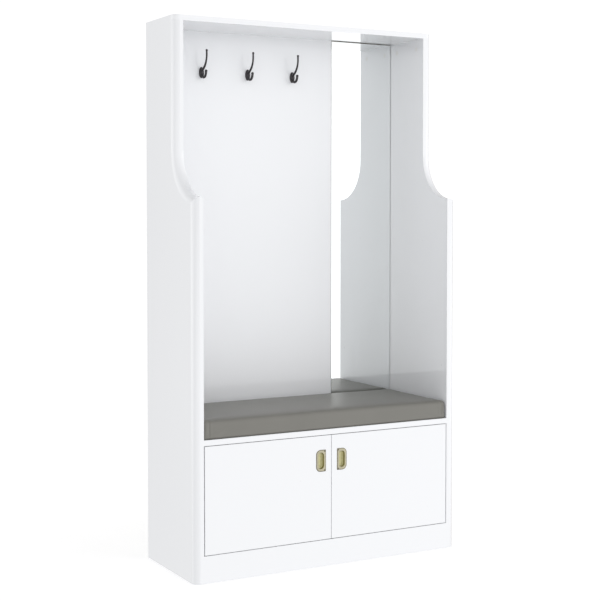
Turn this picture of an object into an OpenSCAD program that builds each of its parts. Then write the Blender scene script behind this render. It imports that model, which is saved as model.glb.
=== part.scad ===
// Hall tree: a tall open coat alcove with hooks and a mirror, over a bench with two inset doors.
// Millimetres. X runs left to right, Y front to back, Z up; the origin is the centre of the footprint.

/* [Overall] */
// Width across both side panels
body_w = 990; // [800:10:1300]
// Depth of the bench and of the lower part of the side panels
body_d = 380; // [320:5:460]
// Height to the top face
body_h = 1800; // [1600:10:2100]

/* [Side panels] */
// Thickness of each side panel
side_t = 34; // [25:1:45]
// Depth of the side panels above the cove
upper_d = 230; // [190:5:300]
// Height of the ledge where the cove meets the front edge
ledge_h = 1216; // [1000:4:1320]
// Radius of the rounded outer front edges
edge_r = 22; // [8:1:30]
// Width of the rebate that holds the back boards
rebate_w = 12; // [8:1:18]

/* [Boards] */
// Thickness of the top, seat, bottom, plinth and divider boards
board_t = 18; // [15:1:25]
// Thickness of the shelves
shelf_t = 16; // [12:1:22]
// Thickness of the hardboard behind the cabinet
cabinet_back_t = 5; // [3:1:8]
// Height of the seat board's top face
seat_h = 456; // [400:2:520]
// Height of the plinth's top edge
plinth_h = 90; // [70:2:140]
// Height of the shelf's lower face above the bottom board
shelf_rise = 165; // [120:5:200]
// Distance of each shelf's front edge behind the divider's
shelf_setback = 33.5; // [10:0.5:100]

/* [Back wall] */
// Thickness of the panel that carries the hooks
hook_panel_t = 18; // [12:1:22]
// Visible width of the hook panel, from the left side panel to the mirror
hook_panel_w = 669; // [520:1:700]
// Thickness of the mirror glass
glass_t = 4; // [3:0.5:5]
// Width of the lap where the two back boards meet
lap_w = 20; // [12:1:30]
// Gap round the mirror glass
glass_gap = 1.5; // [0.3:0.1:2]
// Number of bonding strips behind the mirror
tape_count = 3; // [2:1:4]
// Thickness of the bonding strips
tape_t = 2; // [1:0.5:3]
// Width of each bonding strip
tape_w = 25; // [15:1:40]

/* [Cushion] */
// Thickness of the seat cushion
cushion_t = 61; // [35:1:80]
// Gap between the cushion and each side panel
cushion_gap = 1.5; // [1:0.5:6]
// Radius of the cushion's upper edges
cushion_r = 12; // [6:1:24]
// Thickness of the board inside the cushion
cushion_base_t = 9; // [6:1:12]
// Distance of that board from the cushion's edges
cushion_base_inset = 10; // [5:1:30]

/* [Doors] */
// Thickness of each door
door_t = 18; // [18:1:22]
// Gap above, below and between the doors
door_gap = 2; // [1.5:0.5:4]
// Distance of each hinge from the door's top or bottom edge
hinge_inset = 65; // [50:5:100]
// Thickness of the door bumpers
bumper_t = 1.2; // [1:0.1:3]

/* [Hinges] */
// Radius of the hinge cup
cup_r = 17.5; // [15:0.5:17.5]
// Depth of the hinge cup
cup_depth = 12; // [11.5:0.5:13]
// Distance of the pivot from the door's hinged edge
pivot_in = 22; // [21:0.5:24]
// Radius of the hinge pin
pin_r = 1.5; // [1:0.1:1.8]
// Radial running clearance between the pin and the arm's knuckle
pin_fit = 0.05; // [0.02:0.01:0.1]

/* [Door pulls] */
// Height of a pull's plate
pull_h = 72; // [60:1:110]
// Width of a pull's plate
pull_w = 37; // [32:1:50]
// Distance of a pull's straight edge from the door's free edge
pull_inset = 20; // [14:1:60]
// Distance of a pull's middle below the door's top edge
pull_drop = 82.5; // [60:0.5:160]
// Width of the finger pocket
pocket_w = 21; // [16:1:24]
// Height of the finger pocket
pocket_h = 53; // [40:1:56]
// Depth of the finger pocket behind the door's face
pocket_d = 9; // [6:0.5:11]

/* [Hooks] */
// Distance between neighbouring hooks
hook_pitch = 175; // [120:1:200]
// Distance of the middle of the hook plates below the top board
hook_drop = 139; // [110:1:300]
// Height of a hook's plate
plate_h = 38; // [32:1:50]
// Width of a hook's plate
plate_w = 19; // [16:1:24]
// Thickness of a hook's plate
plate_t = 4; // [3:0.5:5]
// How far the upper prong stands out
prong_out = 44; // [38:1:60]
// Radius of the upper prong
prong_r = 2.6; // [2.2:0.1:3.2]
// Radius of the lower hook's bend, to the middle of the bar
bend_r = 17; // [15:0.5:18]
// Radius of the lower hook's bar
bar_r = 3.8; // [2.8:0.1:4.2]

/* [Hidden] */
$fn = 64;

// Reach of a cutting shape past the face that it opens
eps = 1;

// Main planes
half_w = body_w / 2;
inner_x = half_w - side_t;
front_y = -body_d / 2;
rear_y = body_d / 2;
upper_front_y = rear_y - upper_d;
cove_r = upper_front_y - front_y;
cove_z = ledge_h + cove_r;
top_z = body_h - board_t;
seat_under_z = seat_h - board_t;
floor_z = plinth_h - board_t;
glide_h = 3;
glide_r = 11;
glide_spike_r = 1.5;
glide_spike_l = 14;
glide_in = 40;

// Back wall
wall_y = rear_y - hook_panel_t;
seam_x = -inner_x + hook_panel_w;
backing_t = hook_panel_t - glass_t - tape_t;
backing_y = rear_y - backing_t;
tape_margin = 60;
glass_w = inner_x - seam_x - 2 * glass_gap;
wall_h = top_z - seat_h;
back_screw_margin = 90;
back_screw_count = 5;

// Hinge placing: the knuckle clears the cup's floor, and the door's front corner clears the panel
knuckle_r = pin_r + 1.5;
knuckle_clear = 0.7;
swing_clear = 0.6;
cup_floor = 0.8;
pivot_back = door_t - cup_depth + cup_floor + knuckle_r + knuckle_clear;
hinge_gap = ceil(2 * (norm([pivot_in, pivot_back]) - pivot_in + swing_clear)) / 2;

// Cabinet
cabinet_back_y = rear_y - cabinet_back_t;
cabinet_back_lift = 10;
cabinet_screw_margin = 50;
cabinet_screw_count = 3;
plinth_rear_y = front_y + board_t;
door_back_y = front_y + door_t;
divider_gap = 0.3;
divider_y = door_back_y + bumper_t + divider_gap;
door_w = inner_x - hinge_gap - door_gap / 2;
door_z = plinth_h + door_gap;
door_h = seat_under_z - door_gap - door_z;
shelf_gap = 1;
shelf_z = plinth_h + shelf_rise;
shelf_back_y = cabinet_back_y - 2 * shelf_gap;
shelf_d = shelf_back_y - divider_y - shelf_setback;
shelf_w = inner_x - board_t / 2 - 2 * shelf_gap;

// Hinges: places are measured from the pivot, X towards the middle of the cabinet, Y backwards
pivot_x = -inner_x + hinge_gap + pivot_in;
pivot_y = front_y + pivot_back;
hinge_zs = [door_z + hinge_inset, door_z + door_h - hinge_inset];
cup_rim_y = door_t - pivot_back;
cup_pocket_w = 2 * (cup_r - 4.5);
cup_pocket_h = 2 * (cup_r - 7.5);
flange_t = 1;
flange_h = 58;
flange_x0 = -12;
flange_x1 = 22;
cup_screw_x = 9.5;
cup_screw_z = 23;
pin_l = cup_pocket_h + 7;
arm_h = 12;
arm_t = 3;
arm_out = [cup_pocket_w / 2 + 1, 12];
arm_back_y = 30;
side_x = -(hinge_gap + pivot_in);
plate_thick = 4;
arm_body_w = 10;
arm_body_l = 46;
plate_y0 = 34;
plate_l = 38;
plate_wing_h = 48;
plate_wing_l = 18;
plate_core_h = 18;
plate_screw_z = 16;
plate_screw_y = plate_y0 + plate_l / 2;

// Door pulls
pull_rise = 1.5;
pull_rim = 1;
pull_corner_r = 16;
pull_small_r = 3;
pull_z = door_z + door_h - pull_drop;
pull_screw_in = 5;

// Hooks
hook_wall_mid_x = -inner_x + hook_panel_w / 2;
hook_h = top_z - hook_drop;
hook_places = [-1, 0, 1];
prong_bend_r = 53;
prong_angle = 32;
prong_neck_l = 13;
tip_r = 3.6;
bar_tip_r = 4.4;
bend_z = -0.5;
bend_u = bend_r + 3;
knob_step = 0.3;
bar_lap = 0.5;
root_r = 3.4;
boss_w = 11;
boss_h = 22;
boss_rise = 3;
root_u = 3;
root_z = 3;
bend_start = 20;
hook_screw_z = plate_h / 2 - 3.5;

// Screws: [shank radius, length, head radius]
wood_screw = [1.75, 30, 3.5];
hook_screw = [1.2, 15, 2];
short_screw = [1.5, 14, 3];
cup_screw = [1.5, 12, 3];
pull_screw = [1.1, 10, 2.2];
seat_screw = [2, board_t + 6, 4];
nail_screw = [1.25, 20, 3];
// Cross recess, as shares of the head's radius: [reach, width, depth]
recess = [1.1, 0.22, 0.3];
// Distance of the cushion's screws from the ends and from the edges of its board
seat_screw_in = [126, 54];

// Cam fittings and dowels
cam_r = 7.5;
cam_depth = 12.5;
cam_cap_t = 1;
cam_inset = 34;
bolt_r = 3;
bolt_in = 11;
dowel_r = 4;
dowel_half = 14;
dowel_step = 32;
peg_fit = 0.05;
cam_margin = 60;
top_cam_margin = 45;
side_cam_ys = [front_y + cam_margin, rear_y - cam_margin];
top_cam_ys = [upper_front_y + top_cam_margin, rear_y - cam_margin];
dowel_into_face = 11;
divider_dowel_in = 90;
plinth_dowel_in = 184;
plinth_end_dowel_zs = [glide_h + 20, plinth_h - 35];

lacquer = [0.94, 0.945, 0.95];
raw_board = [0.80, 0.70, 0.55];
steel = [0.72, 0.73, 0.75];
brass = [0.68, 0.63, 0.47];
gunmetal = [0.19, 0.19, 0.20];

// A countersunk screw that points along -Z, with its head face at z = 0
module screw(s) {
    head_h = s[2] - s[0];
    translate([0, 0, -s[1]])
        cylinder(r = s[0], h = s[1]);
    translate([0, 0, -head_h])
        cylinder(r1 = s[0], r2 = s[2], h = head_h);
}

// The same screw with a cross recess in its head
module recessed_screw(s) {
    slot = s[2] * recess;
    difference() {
        screw(s);
        for (a = [0, 90])
            rotate([0, 0, a])
                translate([-slot[0] / 2, -slot[1] / 2, -slot[2]])
                    cube([slot[0], slot[1], slot[2] + eps]);
    }
}

// Repeats its children on the right-hand side as well
module both_sides() {
    children();
    mirror([1, 0, 0])
        children();
}

// ---- side panels ----

// Outline of a side panel in the Y-Z plane, with the cove cut from its upper front
module side_outline() {
    difference() {
        translate([front_y, glide_h])
            square([body_d, top_z - glide_h]);
        translate([front_y - eps, cove_z])
            square([cove_r + eps, body_h]);
        translate([front_y, cove_z])
            circle(r = cove_r, $fn = 128);
    }
}

// What comes off a square corner, in plan, to round it
module corner_waste() {
    difference() {
        translate([-eps, -eps])
            square([edge_r + eps, edge_r + eps]);
        translate([edge_r, edge_r])
            circle(r = edge_r);
    }
}

// Everything that rounds the left panel's outer front edge: two straight runs and the cove
module edge_waste() {
    translate([-half_w, front_y, 0])
        linear_extrude(ledge_h)
            corner_waste();
    translate([-half_w, upper_front_y, cove_z])
        linear_extrude(body_h)
            corner_waste();
    translate([-half_w, front_y, cove_z])
        rotate([0, 90, 0])
            rotate_extrude(angle = 90, $fn = 128)
                translate([cove_r, 0])
                    corner_waste();
}

// The left panel before its fastener holes; back_t is the thickness of the board in its rebate
module side_blank(back_t) {
    difference() {
        translate([-half_w, 0, 0])
            rotate([90, 0, 90])
                linear_extrude(side_t)
                    side_outline();
        edge_waste();
        translate([-inner_x - rebate_w, rear_y - back_t, seat_h])
            cube([rebate_w + eps, back_t + eps, body_h]);
        translate([-inner_x - rebate_w, cabinet_back_y, -eps])
            cube([rebate_w + eps, cabinet_back_t + eps, seat_under_z + eps]);
        side_holes();
    }
}

// Holes in the left panel for everything that is pressed or screwed into it
module side_holes() {
    side_cam_bolts(peg_fit);
    side_dowels(peg_fit);
    top_cam_discs(peg_fit);
    top_cam_bolts(peg_fit);
    top_dowels(peg_fit);
    side_shelf_pins();
    side_plate_screws();
    side_back_screws();
    side_cabinet_back_screws();
    side_glides();
}

module side_panel_left() {
    color(lacquer)
        side_blank(hook_panel_t);
}

module side_panel_right() {
    color(lacquer)
        mirror([1, 0, 0])
            side_blank(backing_t);
}

// ---- top ----

module top_panel() {
    color(lacquer)
        difference() {
            translate([0, 0, top_z])
                linear_extrude(board_t)
                    difference() {
                        translate([-half_w, upper_front_y])
                            square([body_w, upper_d]);
                        both_sides()
                            translate([-half_w, upper_front_y])
                                corner_waste();
                    }
            both_sides() {
                top_cam_bolts(peg_fit);
                top_dowels(peg_fit);
            }
        }
}

// ---- back wall ----

module hook_panel() {
    color(lacquer)
        difference() {
            translate([-inner_x - rebate_w, wall_y, seat_h])
                cube([hook_panel_w + rebate_w, hook_panel_t, wall_h]);
            translate([seam_x - lap_w, backing_y, seat_h - eps])
                cube([lap_w + eps, backing_t + eps, wall_h + 2 * eps]);
            side_back_screws();
            hook_screw_set(false);
        }
}

module mirror_backing() {
    color(raw_board)
        difference() {
            translate([seam_x - lap_w, backing_y, seat_h])
                cube([inner_x + rebate_w - seam_x + lap_w, backing_t, wall_h]);
            mirror([1, 0, 0])
                side_back_screws();
        }
}

module mirror_tape() {
    strip_step = (glass_w - 2 * tape_margin) / (tape_count - 1);
    color([0.85, 0.85, 0.82])
        for (i = [0 : tape_count - 1])
            translate([
                seam_x + glass_gap + tape_margin + i * strip_step - tape_w / 2,
                backing_y - tape_t,
                seat_h + tape_margin
            ])
                cube([tape_w, tape_t, wall_h - 2 * tape_margin]);
}

module mirror_glass() {
    color([0.82, 0.85, 0.87])
        translate([seam_x + glass_gap, wall_y, seat_h + glass_gap])
            cube([glass_w, glass_t, wall_h - 2 * glass_gap]);
}

// Screws from behind that hold a back board in the left panel's rebate
module side_back_screws(cross = false) {
    step = (wall_h - 2 * back_screw_margin) / (back_screw_count - 1);
    for (i = [0 : back_screw_count - 1])
        translate([-inner_x - rebate_w / 2, rear_y, seat_h + back_screw_margin + i * step])
            rotate([-90, 0, 0]) {
                if (cross)
                    recessed_screw(wood_screw);
                else
                    screw(wood_screw);
            }
}

module back_screws() {
    color(steel)
        both_sides()
            side_back_screws(true);
}

// ---- bench and cabinet ----

module seat_board() {
    color(lacquer)
        difference() {
            translate([-inner_x, front_y, seat_under_z])
                cube([2 * inner_x, body_d, board_t]);
            both_sides() {
                board_cams(seat_under_z, peg_fit);
                side_dowels(peg_fit);
            }
            divider_dowels(peg_fit);
            seat_screw_set(false);
        }
}

module bottom_board() {
    color(lacquer)
        difference() {
            translate([-inner_x, plinth_rear_y, floor_z])
                cube([2 * inner_x, cabinet_back_y - plinth_rear_y, board_t]);
            both_sides() {
                board_cams(floor_z, peg_fit);
                side_dowels(peg_fit);
            }
            divider_dowels(peg_fit);
            plinth_dowels(peg_fit);
        }
}

module center_divider() {
    color(lacquer)
        difference() {
            translate([-board_t / 2, divider_y, plinth_h])
                cube([board_t, cabinet_back_y - divider_y, seat_under_z - plinth_h]);
            divider_dowels(peg_fit);
            divider_shelf_pins();
        }
}

module cabinet_back() {
    color([0.88, 0.88, 0.87])
        difference() {
            translate([-inner_x - rebate_w, cabinet_back_y, cabinet_back_lift])
                cube([
                    2 * (inner_x + rebate_w),
                    cabinet_back_t,
                    seat_under_z - cabinet_back_lift
                ]);
            both_sides()
                side_cabinet_back_screws();
        }
}

module side_cabinet_back_screws(cross = false) {
    step = (seat_under_z - 2 * cabinet_screw_margin) / (cabinet_screw_count - 1);
    for (i = [0 : cabinet_screw_count - 1])
        translate([-inner_x - rebate_w / 2, rear_y, cabinet_screw_margin + i * step])
            rotate([-90, 0, 0]) {
                if (cross)
                    recessed_screw(nail_screw);
                else
                    screw(nail_screw);
            }
}

module cabinet_back_screws() {
    color(steel)
        both_sides()
            side_cabinet_back_screws(true);
}

module plinth_front() {
    color(lacquer)
        difference() {
            translate([-inner_x, front_y, glide_h])
                cube([2 * inner_x, board_t, plinth_h - glide_h]);
            both_sides()
                side_dowels(peg_fit);
            plinth_dowels(peg_fit);
        }
}

module plinth_back() {
    color(lacquer)
        translate([-inner_x, cabinet_back_y - board_t, glide_h])
            cube([2 * inner_x, board_t, floor_z - glide_h]);
}

module plinth_brace() {
    color(raw_board)
        translate([-board_t / 2, plinth_rear_y, glide_h])
            cube([board_t, cabinet_back_y - board_t - plinth_rear_y, floor_z - glide_h]);
}

module shelf_blank() {
    translate([-inner_x + shelf_gap, shelf_back_y - shelf_d, shelf_z])
        cube([shelf_w, shelf_d, shelf_t]);
}

module shelf_left() {
    color(lacquer)
        shelf_blank();
}

module shelf_right() {
    color(lacquer)
        mirror([1, 0, 0])
            shelf_blank();
}

// Shelf pins: a peg in the board and a flat-topped rest under the shelf
pin_hole_r = 2.5;
pin_hole_l = 9;
rest_r = 3.5;
rest_l = 8;
shelf_pin_in = 45;
shelf_pin_ys = [shelf_back_y - shelf_d + shelf_pin_in, shelf_back_y - shelf_pin_in];
divider_pin_step = 8;
divider_web = 1;

module shelf_pin(peg_l) {
    translate([-peg_l, 0, 0])
        rotate([0, 90, 0])
            cylinder(r = pin_hole_r, h = peg_l);
    rotate([0, 90, 0])
        cylinder(r = rest_r, h = rest_l);
}

module side_shelf_pins() {
    for (y = shelf_pin_ys)
        translate([-inner_x, y, shelf_z - rest_r])
            shelf_pin(pin_hole_l);
}

// The divider's pins are offset front to back, so that the two sides never meet in its middle
module divider_shelf_pins() {
    for (side = [-1, 1], y = shelf_pin_ys)
        translate([side * board_t / 2, y + side * divider_pin_step, shelf_z - rest_r])
            mirror([side < 0 ? 1 : 0, 0, 0])
                shelf_pin((board_t - divider_web) / 2);
}

module shelf_pins() {
    color(steel) {
        both_sides()
            side_shelf_pins();
        divider_shelf_pins();
    }
}

module side_glides() {
    for (y = [front_y + glide_in, rear_y - glide_in])
        translate([-half_w + side_t / 2, y, 0]) {
            cylinder(r = glide_r, h = glide_h);
            cylinder(r = glide_spike_r, h = glide_h + glide_spike_l);
        }
}

module floor_glides() {
    color([0.85, 0.85, 0.83])
        both_sides()
            side_glides();
}

// ---- cushion ----

cushion_l = 2 * (inner_x - cushion_gap);
cushion_front_y = front_y + cushion_gap;
cushion_d = wall_y - cushion_gap - cushion_front_y;
base_l = cushion_l - 2 * cushion_base_inset;
base_d = cushion_d - 2 * cushion_base_inset;

// A bar with two rounded upper edges, lying along X
module cushion_bar(l, d) {
    rotate([90, 0, 90])
        translate([-d / 2, 0, -l / 2])
            linear_extrude(l) {
                square([d, cushion_t - cushion_r]);
                translate([cushion_r, 0])
                    square([d - 2 * cushion_r, cushion_t]);
                for (y = [cushion_r, d - cushion_r])
                    translate([y, cushion_t - cushion_r])
                        circle(r = cushion_r);
            }
}

module seat_cushion() {
    color([0.50, 0.49, 0.47])
        translate([0, cushion_front_y + cushion_d / 2, seat_h])
            difference() {
                intersection() {
                    cushion_bar(cushion_l, cushion_d);
                    rotate([0, 0, 90])
                        cushion_bar(cushion_d, cushion_l);
                }
                translate([-base_l / 2, -base_d / 2, -eps])
                    cube([base_l, base_d, cushion_base_t + eps]);
            }
}

module cushion_base() {
    color(raw_board)
        difference() {
            translate([-base_l / 2, cushion_front_y + cushion_base_inset, seat_h])
                cube([base_l, base_d, cushion_base_t]);
            seat_screw_set(false);
        }
}

// Screws up through the seat board into the cushion's own board
module seat_screw_set(cross) {
    at_x = base_l / 2 - seat_screw_in[0];
    at_y = base_d / 2 - seat_screw_in[1];
    mid_y = cushion_front_y + cushion_d / 2;
    for (x = [-at_x, at_x], y = [mid_y - at_y, mid_y + at_y])
        translate([x, y, seat_under_z])
            rotate([180, 0, 0]) {
                if (cross)
                    recessed_screw(seat_screw);
                else
                    screw(seat_screw);
            }
}

module cushion_screws() {
    color(steel)
        seat_screw_set(true);
}

// ---- doors ----

// The left-hand door; the right-hand one is its mirror image
module door_blank() {
    difference() {
        translate([-inner_x + hinge_gap, front_y, door_z])
            cube([door_w, door_t, door_h]);
        for (z = hinge_zs)
            translate([pivot_x, pivot_y + cup_rim_y - cup_depth, z])
                rotate([-90, 0, 0])
                    cylinder(r = cup_r, h = cup_depth + eps);
        cup_screw_set(false);
        translate([pull_mid_x, front_y, pull_z])
            rotate([90, 0, 0])
                translate([0, 0, -pocket_d - pull_rim])
                    linear_extrude(pocket_d + pull_rim + eps)
                        pocket_outline(pull_rim);
        pull_screw_set(false);
    }
}

module door_left() {
    color(lacquer)
        door_blank();
}

module door_right() {
    color(lacquer)
        mirror([1, 0, 0])
            door_blank();
}

// ---- door pulls ----

pull_edge_x = -door_gap / 2 - pull_inset;
pull_mid_x = pull_edge_x - pull_w / 2;

// Plate of a pull: straight towards the free edge, with two generous corners on the far side
module pull_outline() {
    x0 = -pull_w / 2;
    x1 = pull_w / 2;
    z1 = pull_h / 2;
    translate([x0 + pull_corner_r, -z1])
        square([pull_w - pull_corner_r - pull_small_r, pull_h]);
    translate([x0, -z1 + pull_corner_r])
        square([pull_w / 2, pull_h - 2 * pull_corner_r]);
    translate([0, -z1 + pull_small_r])
        square([x1, pull_h - 2 * pull_small_r]);
    for (s = [-1, 1]) {
        translate([x0 + pull_corner_r, s * (z1 - pull_corner_r)])
            circle(r = pull_corner_r);
        translate([x1 - pull_small_r, s * (z1 - pull_small_r)])
            circle(r = pull_small_r);
    }
}

// Finger pocket with round ends, grown by a wall of w
module pocket_outline(w) {
    r = pocket_w / 2 + w;
    run = (pocket_h - pocket_w) / 2;
    translate([-r, -run])
        square([2 * r, 2 * run]);
    for (s = [-1, 1])
        translate([0, s * run])
            circle(r = r);
}

module pull_blank() {
    difference() {
        translate([pull_mid_x, front_y, pull_z])
            rotate([90, 0, 0])
                difference() {
                    union() {
                        linear_extrude(pull_rise)
                            pull_outline();
                        translate([0, 0, -pocket_d - pull_rim])
                            linear_extrude(pocket_d + pull_rim + pull_rise / 2)
                                pocket_outline(pull_rim);
                    }
                    translate([0, 0, -pocket_d])
                        linear_extrude(pocket_d + pull_rise + eps)
                            pocket_outline(0);
                }
        pull_screw_set(false);
    }
}

module pull_left() {
    color(brass)
        pull_blank();
}

module pull_right() {
    color(brass)
        mirror([1, 0, 0])
            pull_blank();
}

module pull_screw_set(cross) {
    for (s = [-1, 1])
        translate([
            pull_edge_x - pull_screw_in,
            front_y - pull_rise,
            pull_z + s * (pull_h / 2 - pull_screw_in)
        ])
            rotate([90, 0, 0]) {
                if (cross)
                    recessed_screw(pull_screw);
                else
                    screw(pull_screw);
            }
}

module pull_screws_left() {
    color(gunmetal)
        pull_screw_set(true);
}

module pull_screws_right() {
    color(gunmetal)
        mirror([1, 0, 0])
            pull_screw_set(true);
}

// ---- door bumpers ----

bumper_r = 3.2;
bumper_edge = 0.4;
bumper_in = 22;

module bumper_set() {
    for (z = [door_z + bumper_in, door_z + door_h - bumper_in])
        translate([-door_gap / 2 - bumper_r - bumper_edge, door_back_y, z])
            rotate([-90, 0, 0])
                cylinder(r = bumper_r, h = bumper_t);
}

module door_bumpers_left() {
    color([0.8, 0.8, 0.8])
        bumper_set();
}

module door_bumpers_right() {
    color([0.8, 0.8, 0.8])
        mirror([1, 0, 0])
            bumper_set();
}

// ---- hinges ----

// Cup with its flange; two solid cheeks are left above and below the pocket to hold the pin
module hinge_cup() {
    difference() {
        union() {
            translate([0, cup_rim_y - cup_depth, 0])
                rotate([-90, 0, 0])
                    cylinder(r = cup_r, h = cup_depth);
            translate([flange_x0, cup_rim_y, -flange_h / 2])
                cube([flange_x1 - flange_x0, flange_t, flange_h]);
        }
        translate([
            -cup_pocket_w / 2,
            cup_rim_y - cup_depth + cup_floor,
            -cup_pocket_h / 2
        ])
            cube([cup_pocket_w, cup_depth + flange_t, cup_pocket_h]);
        hinge_pin();
    }
}

module hinge_pin() {
    translate([0, 0, -pin_l / 2])
        cylinder(r = pin_r, h = pin_l);
}

// Cranked arm: knuckle on the pin, out through the cup's mouth, round the door's edge and back
module hinge_arm() {
    reach = norm(arm_out);
    turn = atan2(arm_out[1], arm_out[0]);
    body_x = side_x + plate_thick;
    difference() {
        union() {
            translate([0, 0, -arm_h / 2])
                cylinder(r = knuckle_r, h = arm_h);
            rotate([0, 0, turn])
                translate([0, -arm_t / 2, -arm_h / 2])
                    cube([reach, arm_t, arm_h]);
            translate([arm_out[0], arm_out[1], -arm_h / 2])
                cylinder(r = arm_t / 2, h = arm_h);
            translate([arm_out[0] - arm_t / 2, arm_out[1], -arm_h / 2])
                cube([arm_t, arm_back_y - arm_out[1] + arm_t / 2, arm_h]);
            translate([body_x, arm_back_y - arm_t / 2, -arm_h / 2])
                cube([arm_out[0] - body_x, arm_t, arm_h]);
            translate([body_x, arm_back_y - arm_t / 2, -arm_h / 2])
                cube([arm_body_w, arm_body_l, arm_h]);
        }
        translate([0, 0, -arm_h])
            cylinder(r = pin_r + pin_fit, h = 2 * arm_h);
    }
}

// Cross-shaped mounting plate on the side panel
module hinge_plate() {
    translate([side_x, plate_y0, -plate_core_h / 2])
        cube([plate_thick, plate_l, plate_core_h]);
    translate([side_x, plate_screw_y - plate_wing_l / 2, -plate_wing_h / 2])
        cube([plate_thick, plate_wing_l, plate_wing_h]);
}

module side_plate_screws(cross = false) {
    for (z = hinge_zs, s = [-1, 1])
        translate([
            pivot_x + side_x + plate_thick,
            pivot_y + plate_screw_y,
            z + s * plate_screw_z
        ])
            rotate([0, 90, 0]) {
                if (cross)
                    recessed_screw(short_screw);
                else
                    screw(short_screw);
            }
}

module cup_screw_set(cross) {
    for (z = hinge_zs, s = [-1, 1])
        translate([pivot_x + cup_screw_x, pivot_y + cup_rim_y + flange_t, z + s * cup_screw_z])
            rotate([-90, 0, 0]) {
                if (cross)
                    recessed_screw(cup_screw);
                else
                    screw(cup_screw);
            }
}

// Repeats its children at the left door's two hinges
module at_hinges() {
    for (z = hinge_zs)
        translate([pivot_x, pivot_y, z])
            children();
}

module hinge_cup_set() {
    difference() {
        at_hinges()
            hinge_cup();
        cup_screw_set(false);
    }
}

module hinge_plate_set() {
    difference() {
        at_hinges()
            hinge_plate();
        side_plate_screws();
    }
}

module hinge_cups_left() {
    color(steel)
        hinge_cup_set();
}

module hinge_cups_right() {
    color(steel)
        mirror([1, 0, 0])
            hinge_cup_set();
}

module cup_screws_left() {
    color(steel)
        cup_screw_set(true);
}

module cup_screws_right() {
    color(steel)
        mirror([1, 0, 0])
            cup_screw_set(true);
}

module hinge_pins_left() {
    color(steel)
        at_hinges()
            hinge_pin();
}

module hinge_pins_right() {
    color(steel)
        mirror([1, 0, 0])
            at_hinges()
                hinge_pin();
}

module hinge_arms_left() {
    color(steel)
        at_hinges()
            hinge_arm();
}

module hinge_arms_right() {
    color(steel)
        mirror([1, 0, 0])
            at_hinges()
                hinge_arm();
}

module hinge_plates_left() {
    color(steel)
        hinge_plate_set();
}

module hinge_plates_right() {
    color(steel)
        mirror([1, 0, 0])
            hinge_plate_set();
}

module plate_screws() {
    color(steel)
        both_sides()
            side_plate_screws(true);
}

// ---- coat hooks ----

// An upright slot shape, in the plane of the wall
module slot_outline(w, h) {
    run = (h - w) / 2;
    translate([-w / 2, -run])
        square([w, 2 * run]);
    for (s = [-1, 1])
        translate([0, s * run])
            circle(r = w / 2);
}

// Knob that swallows the end of a bar: a turned ball with a flat base a little wider than the bar
module knob(ball_r, bar) {
    base_r = bar + knob_step;
    sink = sqrt(ball_r * ball_r - base_r * base_r);
    translate([0, -bar_lap, 0])
        rotate([-90, 0, 0])
            rotate_extrude()
                polygon([
                    [0, 0],
                    [base_r, 0],
                    for (a = [0 : 20 : 80]) [ball_r * cos(a), sink + ball_r * sin(a)],
                    [0, sink + ball_r * sin(80)]
                ]);
}

// Upper prong: a tapered bar out of the boss, a bend to the vertical, a neck and a knob
module upper_prong() {
    bend_x = prong_out - prong_bend_r;
    sweep = 90 - prong_angle;
    run_x = bend_x + prong_bend_r * cos(sweep) - root_u;
    prong_rise = root_z + run_x * tan(prong_angle) + prong_bend_r * sin(sweep);
    neck_r = prong_r + knob_step;
    translate([bend_x, prong_rise, 0])
        rotate([0, 0, -sweep]) {
            rotate_extrude(angle = sweep)
                translate([prong_bend_r, 0])
                    circle(r = prong_r);
            translate([prong_bend_r, bar_lap, 0])
                rotate([90, 0, 0])
                    cylinder(
                        r1 = neck_r,
                        r2 = root_r,
                        h = run_x / cos(prong_angle) + bar_lap
                    );
        }
    translate([prong_out, prong_rise - bar_lap, 0])
        rotate([-90, 0, 0])
            cylinder(r1 = neck_r, r2 = prong_r, h = prong_neck_l + bar_lap);
    translate([prong_out, prong_rise + prong_neck_l, 0])
        knob(tip_r, prong_r);
}

// Lower hook: a round bar bent into a J, with a knob
module lower_hook() {
    translate([bend_u, bend_z, 0])
        rotate([0, 0, 180 + bend_start])
            rotate_extrude(angle = 180 - bend_start)
                translate([bend_r, 0])
                    circle(r = bar_r);
    translate([bend_u + bend_r, bend_z, 0])
        knob(bar_tip_r, bar_r);
}

// One cast hook, its wall face on the plane y = 0, standing out along -Y
module coat_hook() {
    rotate([90, 0, 0]) {
        linear_extrude(plate_t)
            slot_outline(plate_w, plate_h);
        linear_extrude(plate_t + boss_rise)
            slot_outline(boss_w, boss_h);
    }
    rotate([90, 0, -90]) {
        upper_prong();
        lower_hook();
    }
}

module hook_at(i) {
    color(gunmetal)
        difference() {
            translate([hook_wall_mid_x + i * hook_pitch, wall_y, hook_h])
                coat_hook();
            hook_screw_set(false);
        }
}

module coat_hook_left() {
    hook_at(-1);
}

module coat_hook_center() {
    hook_at(0);
}

module coat_hook_right() {
    hook_at(1);
}

// Two screws in each hook's plate
module hook_screw_set(cross) {
    for (i = hook_places, s = [-1, 1])
        translate([
            hook_wall_mid_x + i * hook_pitch,
            wall_y - plate_t,
            hook_h + s * hook_screw_z
        ])
            rotate([90, 0, 0]) {
                if (cross)
                    recessed_screw(hook_screw);
                else
                    screw(hook_screw);
            }
}

module hook_screws() {
    color(gunmetal)
        hook_screw_set(true);
}

// ---- cam fittings and dowels ----

// Cams of one horizontal board at the left side: a disc in its lower face and the bolt's bore
module board_cams(under_z, grow) {
    for (y = side_cam_ys)
        translate([-inner_x + cam_inset, y, under_z - (grow > 0 ? eps : 0)])
            cylinder(r = cam_r + grow, h = cam_depth + (grow > 0 ? eps : 0));
    side_cam_bolts(grow);
}

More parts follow.
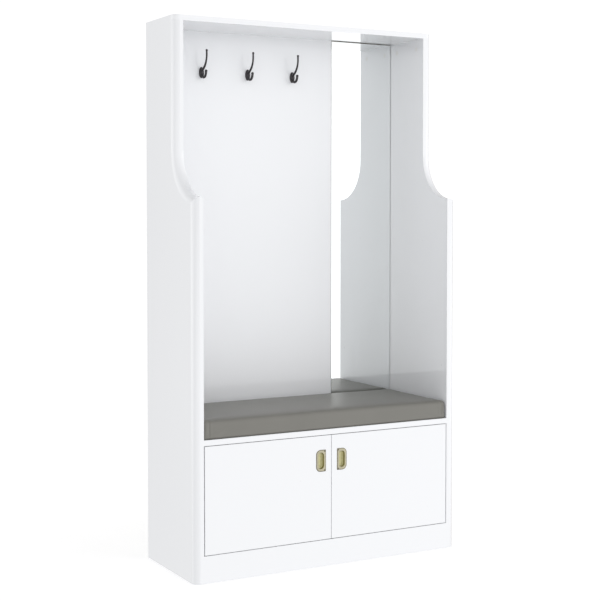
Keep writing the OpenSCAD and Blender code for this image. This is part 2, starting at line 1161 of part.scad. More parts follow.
// Bolts that join the seat and bottom boards to the left panel
module side_cam_bolts(grow) {
    for (under = [seat_under_z, floor_z], y = side_cam_ys)
        translate([-inner_x - bolt_in, y, under + board_t / 2])
            rotate([0, 90, 0])
                cylinder(r = bolt_r + grow, h = bolt_in + cam_inset - cam_r);
}

// Cams in the left panel's inner face that draw the top panel down
module top_cam_discs(grow) {
    for (y = top_cam_ys)
        translate([-inner_x - cam_depth, y, top_z - cam_inset])
            rotate([0, 90, 0])
                cylinder(r = cam_r + grow, h = cam_depth + (grow > 0 ? eps : -cam_cap_t));
}

module top_cam_caps() {
    for (y = top_cam_ys)
        translate([-inner_x - cam_cap_t, y, top_z - cam_inset])
            rotate([0, 90, 0])
                cylinder(r = cam_r, h = cam_cap_t);
}

module top_cam_bolts(grow) {
    for (y = top_cam_ys)
        translate([-inner_x - cam_depth / 2, y, top_z - cam_inset + cam_r])
            cylinder(r = bolt_r + grow, h = cam_inset - cam_r + bolt_in);
}

module top_dowels(grow) {
    for (y = top_cam_ys)
        translate([-inner_x - side_t / 2, y + dowel_step, top_z - dowel_half])
            cylinder(r = dowel_r + grow, h = 2 * dowel_half);
}

// Dowels between the horizontal boards and plinth and the left panel
module side_dowels(grow) {
    for (under = [seat_under_z, floor_z], y = side_cam_ys)
        translate([-inner_x - dowel_half, y + dowel_step, under + board_t / 2])
            rotate([0, 90, 0])
                cylinder(r = dowel_r + grow, h = 2 * dowel_half);
    for (z = plinth_end_dowel_zs)
        translate([-inner_x - dowel_half, front_y + board_t / 2, z])
            rotate([0, 90, 0])
                cylinder(r = dowel_r + grow, h = 2 * dowel_half);
}

// Dowels in the divider's lower and upper ends
module divider_dowels(grow) {
    for (y = [front_y + divider_dowel_in, rear_y - divider_dowel_in], z = [
        plinth_h - dowel_into_face,
        seat_under_z - dowel_half
    ])
        translate([0, y, z])
            cylinder(r = dowel_r + grow, h = dowel_into_face + dowel_half);
}

// Dowels between the plinth and the bottom board's front edge
module plinth_dowels(grow) {
    for (i = [-1, 0, 1])
        translate([
            i * (inner_x - plinth_dowel_in),
            plinth_rear_y - dowel_into_face,
            floor_z + board_t / 2
        ])
            rotate([-90, 0, 0])
                cylinder(r = dowel_r + grow, h = dowel_into_face + dowel_half);
}

module cam_discs() {
    color(steel)
        both_sides() {
            for (under = [seat_under_z, floor_z], y = side_cam_ys)
                translate([-inner_x + cam_inset, y, under])
                    cylinder(r = cam_r, h = cam_depth);
            top_cam_discs(0);
        }
}

module cam_bolts() {
    color(steel)
        both_sides() {
            side_cam_bolts(0);
            top_cam_bolts(0);
        }
}

module cam_caps() {
    color(lacquer)
        both_sides()
            top_cam_caps();
}

module dowels() {
    color([0.83, 0.72, 0.52]) {
        both_sides() {
            side_dowels(0);
            top_dowels(0);
        }
        divider_dowels(0);
        plinth_dowels(0);
    }
}

side_panel_left();
side_panel_right();
top_panel();
hook_panel();
mirror_backing();
mirror_tape();
mirror_glass();
seat_board();
center_divider();
bottom_board();
cabinet_back();
plinth_front();
plinth_back();
plinth_brace();
shelf_left();
shelf_right();
shelf_pins();
seat_cushion();
cushion_base();
cushion_screws();
door_left();
door_right();
pull_left();
pull_right();
pull_screws_left();
pull_screws_right();
door_bumpers_left();
door_bumpers_right();
hinge_cups_left();
hinge_cups_right();
cup_screws_left();
cup_screws_right();
hinge_pins_left();
hinge_pins_right();
hinge_arms_left();
hinge_arms_right();
hinge_plates_left();
hinge_plates_right();
plate_screws();
coat_hook_left();
coat_hook_center();
coat_hook_right();
hook_screws();
cam_discs();
cam_bolts();
cam_caps();
dowels();
back_screws();
cabinet_back_screws();
floor_glides();
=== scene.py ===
import math

import bmesh
import bpy
import numpy as np
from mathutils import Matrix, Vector


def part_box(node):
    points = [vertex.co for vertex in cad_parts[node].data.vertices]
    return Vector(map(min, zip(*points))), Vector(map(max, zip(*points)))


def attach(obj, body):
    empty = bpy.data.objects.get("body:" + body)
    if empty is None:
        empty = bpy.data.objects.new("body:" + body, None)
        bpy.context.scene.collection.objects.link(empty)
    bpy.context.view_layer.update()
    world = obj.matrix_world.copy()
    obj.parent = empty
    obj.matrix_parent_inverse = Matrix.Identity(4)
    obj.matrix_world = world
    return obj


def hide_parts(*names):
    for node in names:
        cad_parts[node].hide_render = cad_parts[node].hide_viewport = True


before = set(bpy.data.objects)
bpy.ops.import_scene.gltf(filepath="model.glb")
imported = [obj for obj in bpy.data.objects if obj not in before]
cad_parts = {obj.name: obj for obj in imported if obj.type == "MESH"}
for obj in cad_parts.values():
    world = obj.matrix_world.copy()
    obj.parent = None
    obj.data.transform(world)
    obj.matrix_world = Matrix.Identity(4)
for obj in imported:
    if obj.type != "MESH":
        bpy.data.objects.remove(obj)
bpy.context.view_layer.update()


# ---- studio ----
# A white sweep in soft, even light from all round, a little stronger from the sides and the front.
# The camera stands to the left of the bench at chest height and looks slightly down.

CAMERA_PLACE = (-2.1501, -3.8842, 1.1734)
CAMERA_TURN = math.radians(28.81)
CAMERA_DIP = math.radians(2.065)

camera = bpy.data.objects.new("camera", bpy.data.cameras.new("camera"))
camera.data.lens = 78.21
camera.data.sensor_width = 36
camera.data.shift_y = -0.07
camera.location = CAMERA_PLACE
camera.rotation_euler = (math.radians(90) - CAMERA_DIP, 0, -CAMERA_TURN)
bpy.context.collection.objects.link(camera)
bpy.context.scene.camera = camera
bpy.context.scene.view_settings.view_transform = "Standard"


def white_room(seen, around, glows):
    """A plain white room with tall soft glows at (turn to the right, strength)."""
    world = bpy.data.worlds.new("white_room")
    bpy.context.scene.world = world
    world.use_nodes = True
    tree = world.node_tree
    lamp = tree.nodes["Background"]
    lamp.inputs["Color"].default_value = (1, 1, 1, 1)
    way = tree.nodes.new("ShaderNodeTexCoord")

    def toward(aim, strength):
        facing = tree.nodes.new("ShaderNodeVectorMath")
        facing.operation = "DOT_PRODUCT"
        facing.inputs[1].default_value = aim
        tree.links.new(way.outputs["Generated"], facing.inputs[0])
        ramp = tree.nodes.new("ShaderNodeMapRange")
        ramp.interpolation_type = "SMOOTHSTEP"
        ramp.inputs["From Min"].default_value = 0.7
        ramp.inputs["To Max"].default_value = strength
        tree.links.new(facing.outputs["Value"], ramp.inputs["Value"])
        return ramp.outputs["Result"]

    light = None
    for turn, strength in glows:
        for rise in (-15, 15):
            across, up = math.radians(turn), math.radians(rise)
            level = math.cos(up)
            aim = (math.sin(across) * level, -math.cos(across) * level, math.sin(up))
            total = tree.nodes.new("ShaderNodeMath")
            total.inputs[0].default_value = around
            if light:
                tree.links.new(light, total.inputs[0])
            tree.links.new(toward(aim, strength), total.inputs[1])
            light = total.outputs["Value"]
    path = tree.nodes.new("ShaderNodeLightPath")
    pick = tree.nodes.new("ShaderNodeMix")
    pick.inputs["B"].default_value = seen
    tree.links.new(path.outputs["Is Camera Ray"], pick.inputs["Factor"])
    tree.links.new(light, pick.inputs["A"])
    tree.links.new(pick.outputs["Result"], lamp.inputs["Strength"])


white_room(seen=1.05, around=0.62, glows=((-120, 0.50), (-30, 0.32), (30, 0.34), (65, 0.48)))


def new_material(name):
    """A new material, with three makers for it and its object coordinates.

    add makes a node and sets or links its inputs by name, spread maps a pattern to a range, and
    put sets or links the shader's own sockets.
    """
    made = bpy.data.materials.new(name)
    made.use_nodes = True
    tree = made.node_tree
    shader = tree.nodes["Principled BSDF"]

    def add(kind, **inputs):
        one = tree.nodes.new("ShaderNode" + kind)
        for key, value in inputs.items():
            socket = one.inputs[key.replace("_", " ")]
            if isinstance(value, bpy.types.NodeSocket):
                tree.links.new(value, socket)
            else:
                socket.default_value = value
        return one

    def spread(source, low, high):
        """Maps a 0 to 1 pattern to a range of numbers, or to a blend of two colours."""
        if isinstance(low, tuple):
            ramp = add("ValToRGB", Fac=source)
            ramp.color_ramp.elements[0].color = (*low, 1)
            ramp.color_ramp.elements[1].color = (*high, 1)
            return ramp.outputs["Color"]
        return add("MapRange", Value=source, To_Min=low, To_Max=high).outputs["Result"]

    def put(**sockets):
        for key, value in sockets.items():
            socket = shader.inputs[key.replace("_", " ")]
            if isinstance(value, bpy.types.NodeSocket):
                tree.links.new(value, socket)
            elif isinstance(value, tuple):
                socket.default_value = (*value, 1)
            else:
                socket.default_value = value

    place = add("TexCoord").outputs["Object"]
    return made, add, spread, put, place


def sweep_floor(half):
    """The white floor, which the camera sees but which neither shades nor tints what stands on it."""
    made, add, spread, put, place = new_material("floor_paint")
    grain = add("TexNoise", Vector=place, Scale=9.0, Detail=4.0).outputs["Fac"]
    put(
        Base_Color=spread(grain, (0.86, 0.86, 0.86), (0.90, 0.90, 0.90)),
        Roughness=0.9,
        Specular_IOR_Level=0.1,
        Emission_Color=(1.0, 1.0, 1.0),
        Emission_Strength=0.38,
    )
    mesh = bpy.data.meshes.new("floor")
    corners = [(-half, -half, 0), (half, -half, 0), (half, half, 0), (-half, half, 0)]
    mesh.from_pydata(corners, [], [(0, 1, 2, 3)])
    floor = bpy.data.objects.new("floor", mesh)
    floor.data.materials.append(made)
    bpy.context.collection.objects.link(floor)
    floor.visible_diffuse = False
    floor.visible_glossy = False
    floor.visible_shadow = False


sweep_floor(half=30.0)


# ---- side panels, boards and doors ----
# Fibreboard with a white lacquer, sprayed and buffed to a gloss that keeps a very faint ripple.
# The panels stand on glides, and the boards hang between them on cams and dowels.

def white_lacquer():
    made, add, spread, put, place = new_material("white_lacquer")
    cloud = add("TexNoise", Vector=place, Scale=2.2, Detail=2.0).outputs["Fac"]
    haze = add("TexNoise", Vector=place, Scale=35.0, Detail=3.0).outputs["Fac"]
    ripple = add("TexNoise", Vector=place, Scale=300.0, Detail=2.0).outputs["Fac"]
    bump = add("Bump", Height=ripple, Strength=0.015, Distance=0.0003)
    put(
        Base_Color=spread(cloud, (0.860, 0.870, 0.892), (0.870, 0.880, 0.902)),
        Roughness=spread(haze, 0.26, 0.32),
        Coat_Weight=1.0,
        Coat_Roughness=0.05,
        Coat_Normal=bump.outputs["Normal"],
    )
    return made


def finish(node, material, edge=0.0):
    """Gives a CAD node its finish, and eases its edges by that radius."""
    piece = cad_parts[node]
    piece.data.materials.clear()
    piece.data.materials.append(material)
    if edge:
        weld = piece.modifiers.new("weld", "WELD")
        weld.merge_threshold = 0.00002
        ease = piece.modifiers.new("ease", "BEVEL")
        ease.width = edge
        ease.segments = 2
        ease.limit_method = "ANGLE"
        ease.angle_limit = math.radians(40)
        ease.harden_normals = True


LACQUER = white_lacquer()
EASED = 0.0012

LACQUERED = [
    "side_panel_left",
    "side_panel_right",
    "top_panel",
    "hook_panel",
    "seat_board",
    "center_divider",
    "bottom_board",
    "plinth_front",
    "plinth_back",
    "shelf_left",
    "shelf_right",
    "door_left",
    "door_right",
]
for name in LACQUERED:
    finish(name, LACQUER, EASED)


# ---- raw boards ----
# Bare particle board where nothing shows: behind the mirror, under the bottom board and inside the
# cushion. A sheet of hardboard, painted white, is screwed on behind the cabinet.

def particle_board():
    made, add, spread, put, place = new_material("backing_board")
    chips = add("TexVoronoi", Vector=place, Scale=420.0)
    cloud = add("TexNoise", Vector=place, Scale=60.0, Detail=6.0).outputs["Fac"]
    tone = spread(cloud, (0.42, 0.29, 0.16), (0.62, 0.47, 0.29))
    bump = add("Bump", Height=chips.outputs["Distance"], Strength=0.3, Distance=0.0004)
    put(
        Base_Color=tone,
        Roughness=spread(cloud, 0.7, 0.9),
        Normal=bump.outputs["Normal"],
    )
    return made


def painted_hardboard():
    made, add, spread, put, place = new_material("white_hardboard")
    fibre = add("TexNoise", Vector=place, Scale=900.0, Detail=3.0).outputs["Fac"]
    mesh_side = add("TexVoronoi", Vector=place, Scale=500.0)
    bump = add("Bump", Height=mesh_side.outputs["Distance"], Strength=0.15, Distance=0.0003)
    put(
        Base_Color=spread(fibre, (0.74, 0.74, 0.73), (0.80, 0.80, 0.79)),
        Roughness=spread(fibre, 0.45, 0.6),
        Normal=bump.outputs["Normal"],
    )
    return made


RAW_BOARD = particle_board()
for name in ("mirror_backing", "plinth_brace", "cushion_base"):
    finish(name, RAW_BOARD, 0.0004)
finish("cabinet_back", painted_hardboard())


# ---- mirror ----
# Float glass silvered on the back, with ground edges, flush with the hook panel beside it.
# Three strips of foam tape bond it to the board behind.

def silvered_glass():
    made, add, spread, put, place = new_material("mirror_glass")
    cloud = add("TexNoise", Vector=place, Scale=2.0).outputs["Fac"]
    put(
        Base_Color=spread(cloud, (0.915, 0.935, 0.935), (0.925, 0.945, 0.945)),
        Metallic=1.0,
        Roughness=spread(cloud, 0.004, 0.010),
    )
    return made


# The eased edge's dark green-grey is partly the ground glass's own tone and partly painted shade,
# standing in for the shadow in the gap beside the mirror.
def ground_edge_and_gap_shade():
    made, add, spread, put, place = new_material("ground_glass_edge_and_gap_shade")
    frost = add("TexNoise", Vector=place, Scale=700.0, Detail=3.0).outputs["Fac"]
    put(
        Base_Color=spread(frost, (0.07, 0.10, 0.09), (0.12, 0.16, 0.15)),
        Roughness=spread(frost, 0.3, 0.5),
    )
    return made


def foam():
    made, add, spread, put, place = new_material("foam_tape")
    cells = add("TexVoronoi", Vector=place, Scale=900.0).outputs["Distance"]
    bump = add("Bump", Height=cells, Strength=0.4, Distance=0.0003)
    put(
        Base_Color=spread(cells, (0.60, 0.60, 0.57), (0.72, 0.72, 0.69)),
        Roughness=0.9,
        Normal=bump.outputs["Normal"],
    )
    return made


finish("mirror_glass", silvered_glass(), 0.0008)
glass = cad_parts["mirror_glass"]
# The bevel faces take the dark edge material: partly the glass edge's own tone, partly painted shade of
# the gap beside the mirror.
glass.data.materials.append(ground_edge_and_gap_shade())
glass.modifiers["ease"].material = 1
finish("mirror_tape", foam())


# ---- seat cushion ----
# Foam on a thin board, wrapped in grey-brown leatherette that is stapled underneath.
# It swells a little between its edges, and the wrap is folded into pleats at the corners.

def leatherette():
    made, add, spread, put, place = new_material("leatherette")
    pebble = add("TexVoronoi", Vector=place, Scale=620.0).outputs["Distance"]
    pores = add("TexNoise", Vector=place, Scale=1500.0, Detail=3.0).outputs["Fac"]
    cloud = add("TexNoise", Vector=place, Scale=7.0, Detail=3.0).outputs["Fac"]
    grain = add("Bump", Height=pebble, Strength=0.22, Distance=0.0004)
    skin = add("Bump", Height=pores, Strength=0.12, Distance=0.0002, Normal=grain.outputs["Normal"])
    put(
        Base_Color=spread(cloud, (0.166, 0.162, 0.144), (0.196, 0.191, 0.171)),
        Roughness=spread(pebble, 0.36, 0.46),
        Normal=skin.outputs["Normal"],
        Specular_IOR_Level=0.5,
        Coat_Weight=0.10,
        Coat_Roughness=0.25,
    )
    return made


CUSHION_LOW, CUSHION_HIGH = (np.array(corner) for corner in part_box("seat_cushion"))


def stuffed_block(low, high, front_r, end_r, foot_r, corner_r):
    """A closed block, rounded over along its front and back, tighter at its ends and round its foot."""
    bm = bmesh.new()
    arc = [math.radians(a) for a in range(0, 91, 15)]
    height = high[2] - low[2]
    levels = []
    for a in arc:
        foot_in = foot_r * (1 - math.sin(a))
        levels.append((foot_in, foot_in, foot_r * (1 - math.cos(a))))
    for a in arc:
        inward = 1 - math.cos(a)
        levels.append((end_r * inward, front_r * inward, height - front_r * (1 - math.sin(a))))
    rings = []
    for end_in, front_in, rise in levels:
        ring = []
        for sx, sy, turn in ((1, -1, -90), (1, 1, 0), (-1, 1, 90), (-1, -1, 180)):
            x = (high[0] if sx > 0 else low[0]) - sx * (end_in + corner_r)
            y = (high[1] if sy > 0 else low[1]) - sy * (front_in + corner_r)
            for step in range(5):
                a = math.radians(turn + step * 22.5)
                point = (x + corner_r * math.cos(a), y + corner_r * math.sin(a), low[2] + rise)
                ring.append(bm.verts.new(point))
        rings.append(ring)
    for lower, upper in zip(rings, rings[1:]):
        for i in range(len(lower)):
            j = (i + 1) % len(lower)
            bm.faces.new((lower[i], lower[j], upper[j], upper[i]))
    bm.faces.new(list(reversed(rings[0])))
    bm.faces.new(rings[-1])
    mesh = bpy.data.meshes.new("seat_cushion_leather")
    bm.to_mesh(mesh)
    bm.free()
    piece = bpy.data.objects.new("seat_cushion_leather", mesh)
    bpy.context.collection.objects.link(piece)
    return piece


def settle(piece, modifier):
    """Makes a modifier's result the piece's own mesh."""
    graph = bpy.context.evaluated_depsgraph_get()
    mesh = bpy.data.meshes.new_from_object(piece.evaluated_get(graph))
    piece.modifiers.remove(modifier)
    old = piece.data
    piece.data = mesh
    bpy.data.meshes.remove(old)


def swell(piece, low, high, cap, frames):
    """Blows the cover up like stuffed cloth, no point further than cap, nor out of the box."""
    remesh = piece.modifiers.new("remesh", "REMESH")
    remesh.mode = "VOXEL"
    remesh.voxel_size = 0.0055
    settle(piece, remesh)
    start = np.array([v.co for v in piece.data.vertices])
    still = piece.vertex_groups.new(name="still")
    still.add([i for i, p in enumerate(start) if p[2] < low[2] + 0.004], 1.0, "REPLACE")
    cloth = piece.modifiers.new("cloth", "CLOTH")
    cloth.settings.quality = 5
    cloth.settings.mass = 0.4
    cloth.settings.tension_stiffness = 12
    cloth.settings.compression_stiffness = 12
    cloth.settings.bending_stiffness = 1.5
    cloth.settings.use_pressure = True
    cloth.settings.uniform_pressure_force = 4
    cloth.settings.vertex_group_mass = "still"
    cloth.settings.effector_weights.gravity = 0
    cloth.collision_settings.use_collision = False
    cloth.point_cache.frame_start, cloth.point_cache.frame_end = 1, frames
    for number in range(1, frames + 1):
        bpy.context.scene.frame_set(number)
    settle(piece, cloth)
    bpy.context.scene.frame_set(1)
    end = np.array([v.co for v in piece.data.vertices])
    move = end - start
    length = np.linalg.norm(move, axis=1, keepdims=True)
    end = start + move * np.minimum(1, cap / np.maximum(length, 1e-9))
    end = np.clip(end, low, high)
    piece.data.vertices.foreach_set("co", end.astype(np.float32).ravel())


def pleats(piece, low, high, crown):
    """Crowns the top, and presses the folded wrap's pleats into the front and back near each corner."""
    pleat_in = 0.019
    reach = 0.07
    skin = 0.012
    for vertex in piece.data.vertices:
        x, y, z = vertex.co
        along = min(x - low[0], high[0] - x)
        rise = (z - low[2]) / (high[2] - low[2])
        u = (2 * x - low[0] - high[0]) / (high[0] - low[0])
        v = (2 * y - low[1] - high[1]) / (high[1] - low[1])
        if rise > 0.8:
            vertex.co.z += crown * (1 - u ** 4) * (1 - v ** 4)
        facing = 1 if y < (low[1] + high[1]) / 2 else -1
        edge = min(y - low[1], high[1] - y)
        if along < reach and edge < skin and rise < 0.97:
            fold = math.exp(-((along - pleat_in) / 0.0022) ** 2)
            ridge = math.exp(-((along - pleat_in - 0.0055) / 0.003) ** 2)
            gather = math.sin(along * 1100) * math.exp(-((along - 0.02) / 0.016) ** 2)
            off_foot = min(1, rise / 0.25)
            depth = 0.0016 * fold - 0.0007 * ridge + 0.0004 * gather
            vertex.co.y += facing * depth * off_foot


END_IN = 0.0003
FRONT_IN = 0.0015
TOP_IN = 0.001
SWELL_ROOM = 0.004
cushion = stuffed_block(
    CUSHION_LOW + (END_IN, FRONT_IN, 0),
    CUSHION_HIGH - (END_IN, FRONT_IN, TOP_IN),
    front_r=0.011,
    end_r=0.004,
    foot_r=0.003,
    corner_r=0.004,
)
swell(cushion, CUSHION_LOW, CUSHION_HIGH + (0, 0, SWELL_ROOM), cap=0.002, frames=20)
smooth = cushion.modifiers.new("smooth", "SUBSURF")
smooth.levels = smooth.render_levels = 1
settle(cushion, smooth)
pleats(cushion, CUSHION_LOW, CUSHION_HIGH, crown=0.0045)
cushion.data.materials.append(leatherette())
cushion.data.shade_smooth()
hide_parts("seat_cushion")
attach(cushion, "root")


# ---- door pulls ----
# Flush pulls of antique brass: a thin plate, straight towards the other door and round on its far
# side, with a raised bead round a finger pocket. Two small screws hold each in its door.

PULL_BOX = {side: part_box("pull_" + side) for side in ("left", "right")}
PULL_RIM = 0.001
BEAD = 0.00035


def antique_brass(name, low_tone, high_tone, rough):
    made, add, spread, put, place = new_material(name)
    stain = add("TexNoise", Vector=place, Scale=160.0, Detail=5.0).outputs["Fac"]
    brush = add("Mapping", Vector=place, Scale=(1600.0, 1600.0, 160.0)).outputs["Vector"]
    lines = add("TexNoise", Vector=brush, Scale=1.0, Detail=2.0).outputs["Fac"]
    bump = add("Bump", Height=lines, Strength=0.12, Distance=0.00005)
    put(
        Base_Color=spread(stain, low_tone, high_tone),
        Metallic=1.0,
        Roughness=spread(stain, rough, rough + 0.12),
        Normal=bump.outputs["Normal"],
    )
    return made


def corner_ring(x0, x1, z0, z1, left_r, right_r, steps=10):
    """Points round an upright rounded rectangle, with one corner radius on each side."""
    points = []
    corners = [
        (x1, z0, right_r, 1, -1),
        (x1, z1, right_r, 1, 1),
        (x0, z1, left_r, -1, 1),
        (x0, z0, left_r, -1, -1),
    ]
    for number, (x, z, r, sx, sz) in enumerate(corners):
        for step in range(steps + 1):
            a = math.radians(-90 + 90 * number + 90 * step / steps)
            points.append((x - sx * r + r * math.cos(a), z - sz * r + r * math.sin(a)))
    return points


def loft(bm, rings):
    """Skins a row of rings of points, and closes the ends."""
    made = [[bm.verts.new(point) for point in ring] for ring in rings]
    for a, b in zip(made, made[1:]):
        for i in range(len(a)):
            j = (i + 1) % len(a)
            bm.faces.new((a[i], a[j], b[j], b[i]))
    bm.faces.new(list(reversed(made[0])))
    bm.faces.new(made[-1])


def add_piece(name, bm, material, body, slot, *nodes):
    """Turns finished mesh work into a piece that rides on a body and stands for CAD nodes."""
    bmesh.ops.recalc_face_normals(bm, faces=bm.faces)
    mesh = bpy.data.meshes.new(name)
    bm.to_mesh(mesh)
    bm.free()
    piece = bpy.data.objects.new(name, mesh)
    bpy.context.collection.objects.link(piece)
    mesh.materials.append(material)
    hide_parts(*nodes)
    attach(piece, body)
    return piece


def flush_pull(low, high, straight_right, side):
    """One pull, worked round from its pocket's floor, over the bead and plate, to the pocket's back."""
    mid_x, mid_z = (low[0] + high[0]) / 2, (low[2] + high[2]) / 2
    half_w, half_h = (high[0] - low[0]) / 2, (high[2] - low[2]) / 2
    face_y = low[1]
    back_y = face_y + 0.0015
    floor_y = high[1] - PULL_RIM
    pocket_w, pocket_h = 0.021, 0.053
    far_r, near_r = 0.016, 0.003

    def pocket(grow, y):
        w, h = pocket_w / 2 + grow, pocket_h / 2 + grow
        ring = corner_ring(-w, w, -h, h, w - 0.0001, w - 0.0001)
        return [(mid_x + x, y, mid_z + z) for x, z in ring]

    def plate(inset, y):
        w, h = half_w - inset, half_h - inset
        left, right = max(far_r - inset, 0.001), max(near_r - inset, 0.001)
        if not straight_right:
            left, right = right, left
        return [(mid_x + x, y, mid_z + z) for x, z in corner_ring(-w, w, -h, h, left, right)]

    plate_y = face_y + BEAD
    rings = [
        pocket(-0.0060, floor_y),
        pocket(-0.0022, floor_y - 0.0001),
        pocket(-0.0008, floor_y - 0.0006),
        pocket(-0.0002, floor_y - 0.0016),
        pocket(0.0, floor_y - 0.0032),
        pocket(0.0, plate_y + 0.0008),
        pocket(0.0002, face_y + 0.0002),
        pocket(0.0006, face_y),
        pocket(0.0011, face_y),
        pocket(0.0015, face_y + 0.0002),
        pocket(0.0017, plate_y),
        plate(0.0026, plate_y),
        plate(0.0022, plate_y + 0.0001),
        plate(0.0003, plate_y + 0.0008),
        plate(0.0, plate_y + 0.0009),
        plate(0.0, back_y),
        pocket(PULL_RIM, back_y),
        pocket(PULL_RIM, high[1] - 0.0012),
        pocket(PULL_RIM - 0.0004, high[1] - 0.0003),
        pocket(PULL_RIM - 0.0015, high[1]),
    ]
    bm = bmesh.new()
    loft(bm, rings)
    around = len(rings[0])
    skinned = around * (len(rings) - 1)
    pocket_bands, plate_bands = 7, 12
    # Bands from the plate's rounded rim to the back take the third brass, which is darkened as painted
    # shade.
    for number, face in enumerate(bm.faces):
        band = number // around
        if band < pocket_bands or number >= skinned:
            face.material_index = 0
        elif band < plate_bands:
            face.material_index = 1
        else:
            face.material_index = 2
    name = "pull_" + side
    piece = add_piece(name + "_brass", bm, BRASS[0], "door_" + side, "antique_brass", name)
    for material in BRASS[1:]:
        piece.data.materials.append(material)
    piece.data.shade_smooth()
    piece.modifiers.new("crisp", "WEIGHTED_NORMAL")


# The third brass is far darker than the others: painted shade on the plate's rounded rim, where it
# turns away from the light.
BRASS = (
    antique_brass("antique_brass", (0.40, 0.375, 0.20), (0.56, 0.53, 0.32), 0.34),
    antique_brass("antique_brass_plate", (0.33, 0.305, 0.215), (0.48, 0.45, 0.34), 0.34),
    antique_brass("antique_brass_painted_shade_rim", (0.12, 0.11, 0.08), (0.24, 0.22, 0.16), 0.42),
)
flush_pull(*PULL_BOX["left"], True, "left")
flush_pull(*PULL_BOX["right"], False, "right")


# ---- hinges ----
# Nickel-plated steel cup hinges, two to a door: cup and flange in the door, a cranked arm on a
# plate on the side panel, and a pin between them.

def nickel(name, tone, rough):
    made, add, spread, put, place = new_material(name)
    cloud = add("TexNoise", Vector=place, Scale=220.0, Detail=4.0).outputs["Fac"]
    bump = add("Bump", Height=cloud, Strength=0.08, Distance=0.0001)
    put(
        Base_Color=spread(cloud, tuple(0.9 * c for c in tone), tone),
        Metallic=1.0,
        Roughness=spread(cloud, rough, rough + 0.1),
        Normal=bump.outputs["Normal"],
    )
    return made


NICKEL = nickel("nickel_steel", (0.68, 0.66, 0.62), 0.2)
ZINC = nickel("zinc_steel", (0.60, 0.61, 0.63), 0.3)
for side in ("left", "right"):
    for name in ("hinge_cups_", "hinge_arms_", "hinge_plates_"):
        finish(name + side, NICKEL, 0.0003)
    finish("hinge_pins_" + side, NICKEL)
    finish("cup_screws_" + side, ZINC)
finish("plate_screws", ZINC)


# ---- coat hooks ----
# Cast zinc hooks with a dark gunmetal finish: an oval plate, a thin upper prong that curves up to
# a small knob, and a stout lower hook. Each is held by two small screws.

def gunmetal():
    made, add, spread, put, place = new_material("gunmetal")
    cloud = add("TexNoise", Vector=place, Scale=180.0, Detail=4.0).outputs["Fac"]
    bump = add("Bump", Height=cloud, Strength=0.10, Distance=0.0002)
    put(
        Base_Color=spread(cloud, (0.045, 0.043, 0.046), (0.085, 0.080, 0.083)),
        Metallic=0.9,
        Roughness=spread(cloud, 0.26, 0.40),
        Normal=bump.outputs["Normal"],
    )
    return made


def tube(bm, path, sides=20):
    """Skins round rings along a path of (out, up, radius) in the upright plane through the hook."""
    rings = []
    for i, (u, z, r) in enumerate(path):
        before, after = path[max(i - 1, 0)], path[min(i + 1, len(path) - 1)]
        way = Vector((after[0] - before[0], after[1] - before[1]))
        way.normalize()
        ring = []
        for step in range(sides):
            a = 2 * math.pi * step / sides
            ring.append((
                r * math.cos(a),
                -(u - way.y * r * math.sin(a)),
                z + way.x * r * math.sin(a),
            ))
        rings.append(ring)
    loft(bm, rings)


def bar(points, radius_from, radius_to, knob_r):
    """A tapered bar along points, which ends in a round knob."""
    count = len(points)
    path = [
        (u, z, radius_from + (radius_to - radius_from) * min(1, 1.6 * i / count))
        for i, (u, z) in enumerate(points)
    ]
    end, before = Vector(points[-1]), Vector(points[-2])
    way = (end - before).normalized()
    for a in range(-50, 90, 12):
        along = knob_r * (math.sin(math.radians(a)) + 0.75)
        r = max(knob_r * math.cos(math.radians(a)), 0.0004)
        path.append((end.x + way.x * along, end.y + way.y * along, r))
    return path


def bow(mid_u, mid_z, r, turn_from, turn_to, steps):
    """Points of (out, up) along an arc between two turns in degrees."""
    turns = [math.radians(turn_from + (turn_to - turn_from) * i / steps) for i in range(steps + 1)]
    return [(mid_u + r * math.cos(a), mid_z + r * math.sin(a)) for a in turns]


def pad(bm, width, height, layers):
    """An upright oval pad on the wall, skinned through layers of (inset, out)."""
    rings = []
    for inset, out in layers:
        ring = []
        for step in range(56):
            a = 2 * math.pi * step / 56
            x = (width / 2 - inset) * math.cos(a)
            z = (height / 2 - inset) * math.sin(a)
            ring.append((x, -out, z))
        rings.append(ring)
    loft(bm, rings)


def cast_hook():
    """The mesh of one hook, its plate's back on the wall at the origin, standing out along -Y."""
    bm = bmesh.new()
    plate = ((0, 0), (0, 0.0020), (0.0004, 0.0029), (0.0012, 0.0036), (0.0026, 0.0040))
    boss = ((0, 0.002), (0, 0.0040), (0.0008, 0.0056), (0.0022, 0.0067), (0.0042, 0.0072))
    pad(bm, 0.019, 0.038, plate)
    pad(bm, 0.013, 0.025, boss)
    root = 0.003
    rise = bow(-0.009, 0.058, 0.053, -58, 0, 18)
    out, up = rise[0]
    run = [(root + (out - root) * i / 6, root + (up - root) * i / 6) for i in range(6)]
    neck = [(0.044, 0.058 + 0.002 * i) for i in range(1, 6)]
    upper_prong = bar(run + rise + neck, 0.0042, 0.0031, 0.0041)
    lower_hook = bar(bow(0.0205, 0.0, 0.0175, 196, 356, 28), 0.0048, 0.0042, 0.0048)
    tube(bm, upper_prong)
    tube(bm, lower_hook)
    bmesh.ops.recalc_face_normals(bm, faces=bm.faces)
    mesh = bpy.data.meshes.new("cast_hook")
    bm.to_mesh(mesh)
    bm.free()
    return mesh


def blended(mesh, voxel, rounds):
    """Joins the overlapping parts of a casting into one skin with soft fillets."""
    piece = bpy.data.objects.new("casting", mesh)
    bpy.context.collection.objects.link(piece)
    remesh = piece.modifiers.new("remesh", "REMESH")
    remesh.mode = "VOXEL"
    remesh.voxel_size = voxel
    settle(piece, remesh)
    soften = piece.modifiers.new("soften", "SMOOTH")
    soften.factor = 0.5
    soften.iterations = rounds
    settle(piece, soften)
    made = piece.data
    bpy.data.objects.remove(piece)
    made.shade_smooth()
    return made


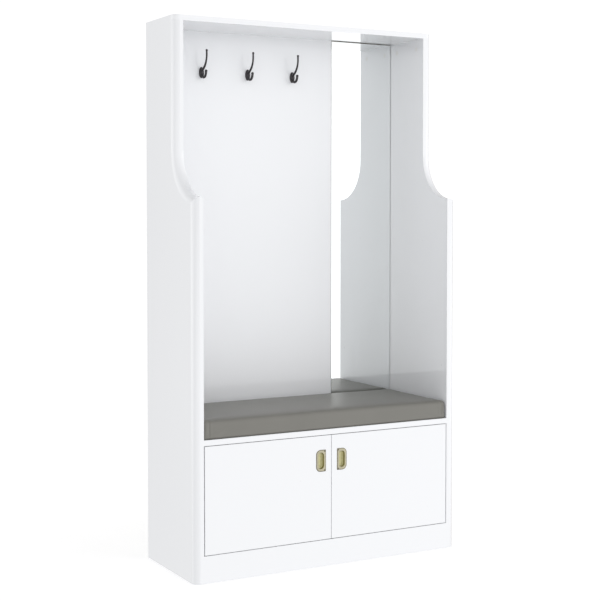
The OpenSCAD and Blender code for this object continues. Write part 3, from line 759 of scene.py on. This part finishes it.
GUNMETAL = gunmetal()
HOOK_MESH = blended(cast_hook(), voxel=0.0006, rounds=3)
HOOK_MESH.materials.append(GUNMETAL)
WALL_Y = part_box("hook_panel")[0][1]
PLATE_MIDDLE = 0.0213
for where in ("left", "center", "right"):
    low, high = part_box("coat_hook_" + where)
    hook = bpy.data.objects.new("coat_hook_" + where + "_cast", HOOK_MESH)
    bpy.context.collection.objects.link(hook)
    hook.location = ((low[0] + high[0]) / 2, WALL_Y, low[2] + PLATE_MIDDLE)
    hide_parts("coat_hook_" + where)
    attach(hook, "root")
for name in ("hook_screws", "pull_screws_left", "pull_screws_right"):
    finish(name, GUNMETAL)


# ---- fasteners and small parts ----
# Cam discs of cast zinc that pull plated bolts tight, with beech dowels beside them, plated wood
# screws, and plastic caps and glides. They join the boards and stay out of sight.

def beech():
    made, add, spread, put, place = new_material("beech")
    along = add("Mapping", Vector=place, Scale=(60.0, 600.0, 600.0)).outputs["Vector"]
    grain = add("TexNoise", Vector=along, Scale=1.0, Detail=5.0).outputs["Fac"]
    bump = add("Bump", Height=grain, Strength=0.2, Distance=0.0002)
    put(
        Base_Color=spread(grain, (0.52, 0.36, 0.20), (0.72, 0.55, 0.34)),
        Roughness=spread(grain, 0.5, 0.65),
        Normal=bump.outputs["Normal"],
    )
    return made


def moulded(name, tone, rough):
    made, add, spread, put, place = new_material(name)
    texture = add("TexNoise", Vector=place, Scale=1800.0, Detail=2.0).outputs["Fac"]
    bump = add("Bump", Height=texture, Strength=0.15, Distance=0.0001)
    put(
        Base_Color=spread(texture, tuple(0.96 * c for c in tone), tone),
        Roughness=spread(texture, rough, rough + 0.1),
        Normal=bump.outputs["Normal"],
    )
    return made


ZINC_ALLOY = nickel("zinc_alloy", (0.52, 0.53, 0.55), 0.38)
PLASTIC = moulded("white_plastic", (0.80, 0.80, 0.79), 0.38)
RUBBER = moulded("clear_rubber", (0.62, 0.63, 0.63), 0.3)
for name in ("shelf_pins", "cushion_screws", "back_screws", "cabinet_back_screws", "cam_bolts"):
    finish(name, ZINC)
finish("cam_discs", ZINC_ALLOY)
finish("cam_caps", PLASTIC)
finish("floor_glides", PLASTIC)
finish("dowels", beech())
for side in ("left", "right"):
    finish("door_bumpers_" + side, RUBBER, 0.0003)
